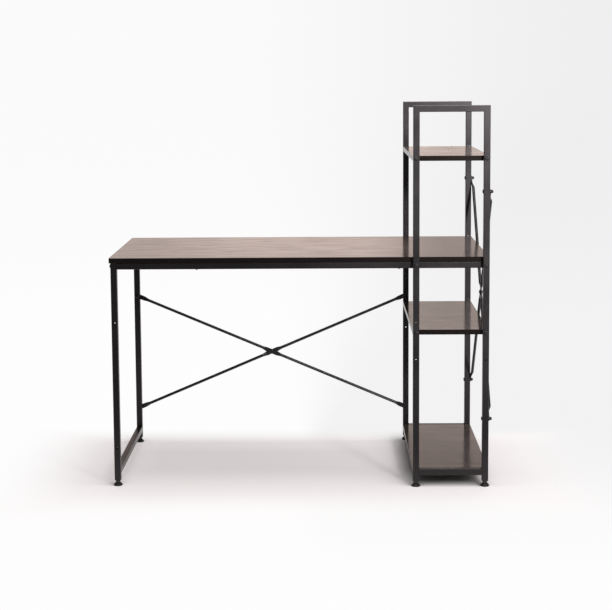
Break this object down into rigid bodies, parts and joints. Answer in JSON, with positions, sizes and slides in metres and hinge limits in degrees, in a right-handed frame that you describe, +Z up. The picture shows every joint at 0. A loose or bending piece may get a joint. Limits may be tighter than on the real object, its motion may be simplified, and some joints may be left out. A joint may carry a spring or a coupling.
{
  "type": "desk with shelves",
  "caption": "Writing desk with a slim black square-tube frame, a dark wood-grain top, an open shelf tower at its right end, crossed brace rods and levelling feet.",
  "frame": {"origin": "on the floor, under the middle of the whole desk's bounding box", "axes": "+X along the desk towards the shelf tower, +Y from the front to the back, +Z up"},
  "size_m": [1.2134, 0.652, 1.211],
  "materials": {
    "walnut_board": "melamine-faced board with a dark walnut grain, satin",
    "edge_band": "dark brown edge band",
    "black_steel": "black powder coat, satin",
    "black_fasteners": "black oxide",
    "foot_steel": "black plated",
    "black_plastic": "moulded black plastic"
  },
  "bodies": {
    "frame": {"bottom_shelf": "walnut_board", "bottom_shelf_edge_band": "edge_band", "bottom_shelf_screws": "black_fasteners", "bottom_shelf_tabs": "black_steel", "desk_top": "walnut_board", "desk_top_edge_band": "edge_band", "desk_top_screws": "black_fasteners", "foot_plugs": "black_plastic", "front_rail": "black_steel", "left_front_post": "black_steel", "left_lower_crossbar": "black_steel", "left_rear_post": "black_steel", "left_upper_crossbar": "black_steel", "middle_shelf": "walnut_board", "middle_shelf_edge_band": "edge_band", "rail_bolts": "black_fasteners", "rail_end_bolts": "black_fasteners", "rail_end_caps": "black_plastic", "rail_end_inserts": "black_fasteners", "rail_nuts": "black_fasteners", "rear_brace_bolts": "black_fasteners", "rear_brace_falling": "black_steel", "rear_brace_nuts": "black_fasteners", "rear_brace_rising": "black_steel", "rear_rail": "black_steel", "shelf_screws": "black_fasteners", "side_brace_bolts": "black_fasteners", "side_brace_falling": "black_steel", "side_brace_nuts": "black_fasteners", "side_brace_rising": "black_steel", "top_shelf": "walnut_board", "top_shelf_edge_band": "edge_band", "tower_front_bottom_rail": "black_steel", "tower_front_left_post": "black_steel", "tower_front_right_post": "black_steel", "tower_front_top_bar": "black_steel", "tower_rear_bottom_rail": "black_steel", "tower_rear_left_post": "black_steel", "tower_rear_right_post": "black_steel", "tower_rear_top_bar": "black_steel"},
    "left_front_pad": {"left_front_foot_pad": "black_plastic"},
    "left_front_stud": {"left_front_foot_stud": "foot_steel"},
    "left_rear_pad": {"left_rear_foot_pad": "black_plastic"},
    "left_rear_stud": {"left_rear_foot_stud": "foot_steel"},
    "tower_front_left_pad": {"tower_front_left_foot_pad": "black_plastic"},
    "tower_front_left_stud": {"tower_front_left_foot_stud": "foot_steel"},
    "tower_front_right_pad": {"tower_front_right_foot_pad": "black_plastic"},
    "tower_front_right_stud": {"tower_front_right_foot_stud": "foot_steel"},
    "tower_rear_left_pad": {"tower_rear_left_foot_pad": "black_plastic"},
    "tower_rear_left_stud": {"tower_rear_left_foot_stud": "foot_steel"},
    "tower_rear_right_pad": {"tower_rear_right_foot_pad": "black_plastic"},
    "tower_rear_right_stud": {"tower_rear_right_foot_stud": "foot_steel"}
  },
  "joints": [
    {"name": "left_front_foot_height", "type": "slide", "parent": "frame", "child": "left_front_pad", "axis": [0, 0, -1], "range_m": [0, 0.012]},
    {"name": "left_front_foot_turn", "type": "hinge", "parent": "left_front_pad", "child": "left_front_stud", "pos_m": [-0.5917, -0.292, 0.009], "axis": [0, 0, -1], "range_deg": [0, 3456]},
    {"name": "left_rear_foot_height", "type": "slide", "parent": "frame", "child": "left_rear_pad", "axis": [0, 0, -1], "range_m": [0, 0.012]},
    {"name": "left_rear_foot_turn", "type": "hinge", "parent": "left_rear_pad", "child": "left_rear_stud", "pos_m": [-0.5917, 0.288, 0.009], "axis": [0, 0, -1], "range_deg": [0, 3456]},
    {"name": "tower_front_left_foot_height", "type": "slide", "parent": "frame", "child": "tower_front_left_pad", "axis": [0, 0, -1], "range_m": [0, 0.012]},
    {"name": "tower_front_left_foot_turn", "type": "hinge", "parent": "tower_front_left_pad", "child": "tower_front_left_stud", "pos_m": [0.3633, -0.312, 0.009], "axis": [0, 0, -1], "range_deg": [0, 3456]},
    {"name": "tower_front_right_foot_height", "type": "slide", "parent": "frame", "child": "tower_front_right_pad", "axis": [0, 0, -1], "range_m": [0, 0.012]},
    {"name": "tower_front_right_foot_turn", "type": "hinge", "parent": "tower_front_right_pad", "child": "tower_front_right_stud", "pos_m": [0.5833, -0.312, 0.009], "axis": [0, 0, -1], "range_deg": [0, 3456]},
    {"name": "tower_rear_left_foot_height", "type": "slide", "parent": "frame", "child": "tower_rear_left_pad", "axis": [0, 0, -1], "range_m": [0, 0.012]},
    {"name": "tower_rear_left_foot_turn", "type": "hinge", "parent": "tower_rear_left_pad", "child": "tower_rear_left_stud", "pos_m": [0.3633, 0.308, 0.009], "axis": [0, 0, -1], "range_deg": [0, 3456]},
    {"name": "tower_rear_right_foot_height", "type": "slide", "parent": "frame", "child": "tower_rear_right_pad", "axis": [0, 0, -1], "range_m": [0, 0.012]},
    {"name": "tower_rear_right_foot_turn", "type": "hinge", "parent": "tower_rear_right_pad", "child": "tower_rear_right_stud", "pos_m": [0.5833, 0.308, 0.009], "axis": [0, 0, -1], "range_deg": [0, 3456]}
  ],
  "couplings": [
    {"joint": "left_front_foot_turn", "follows": "left_front_foot_height", "rad_per_m": 5026.5},
    {"joint": "left_rear_foot_turn", "follows": "left_rear_foot_height", "rad_per_m": 5026.5},
    {"joint": "tower_front_left_foot_turn", "follows": "tower_front_left_foot_height", "rad_per_m": 5026.5},
    {"joint": "tower_front_right_foot_turn", "follows": "tower_front_right_foot_height", "rad_per_m": 5026.5},
    {"joint": "tower_rear_left_foot_turn", "follows": "tower_rear_left_foot_height", "rad_per_m": 5026.5},
    {"joint": "tower_rear_right_foot_turn", "follows": "tower_rear_right_foot_height", "rad_per_m": 5026.5}
  ]
}
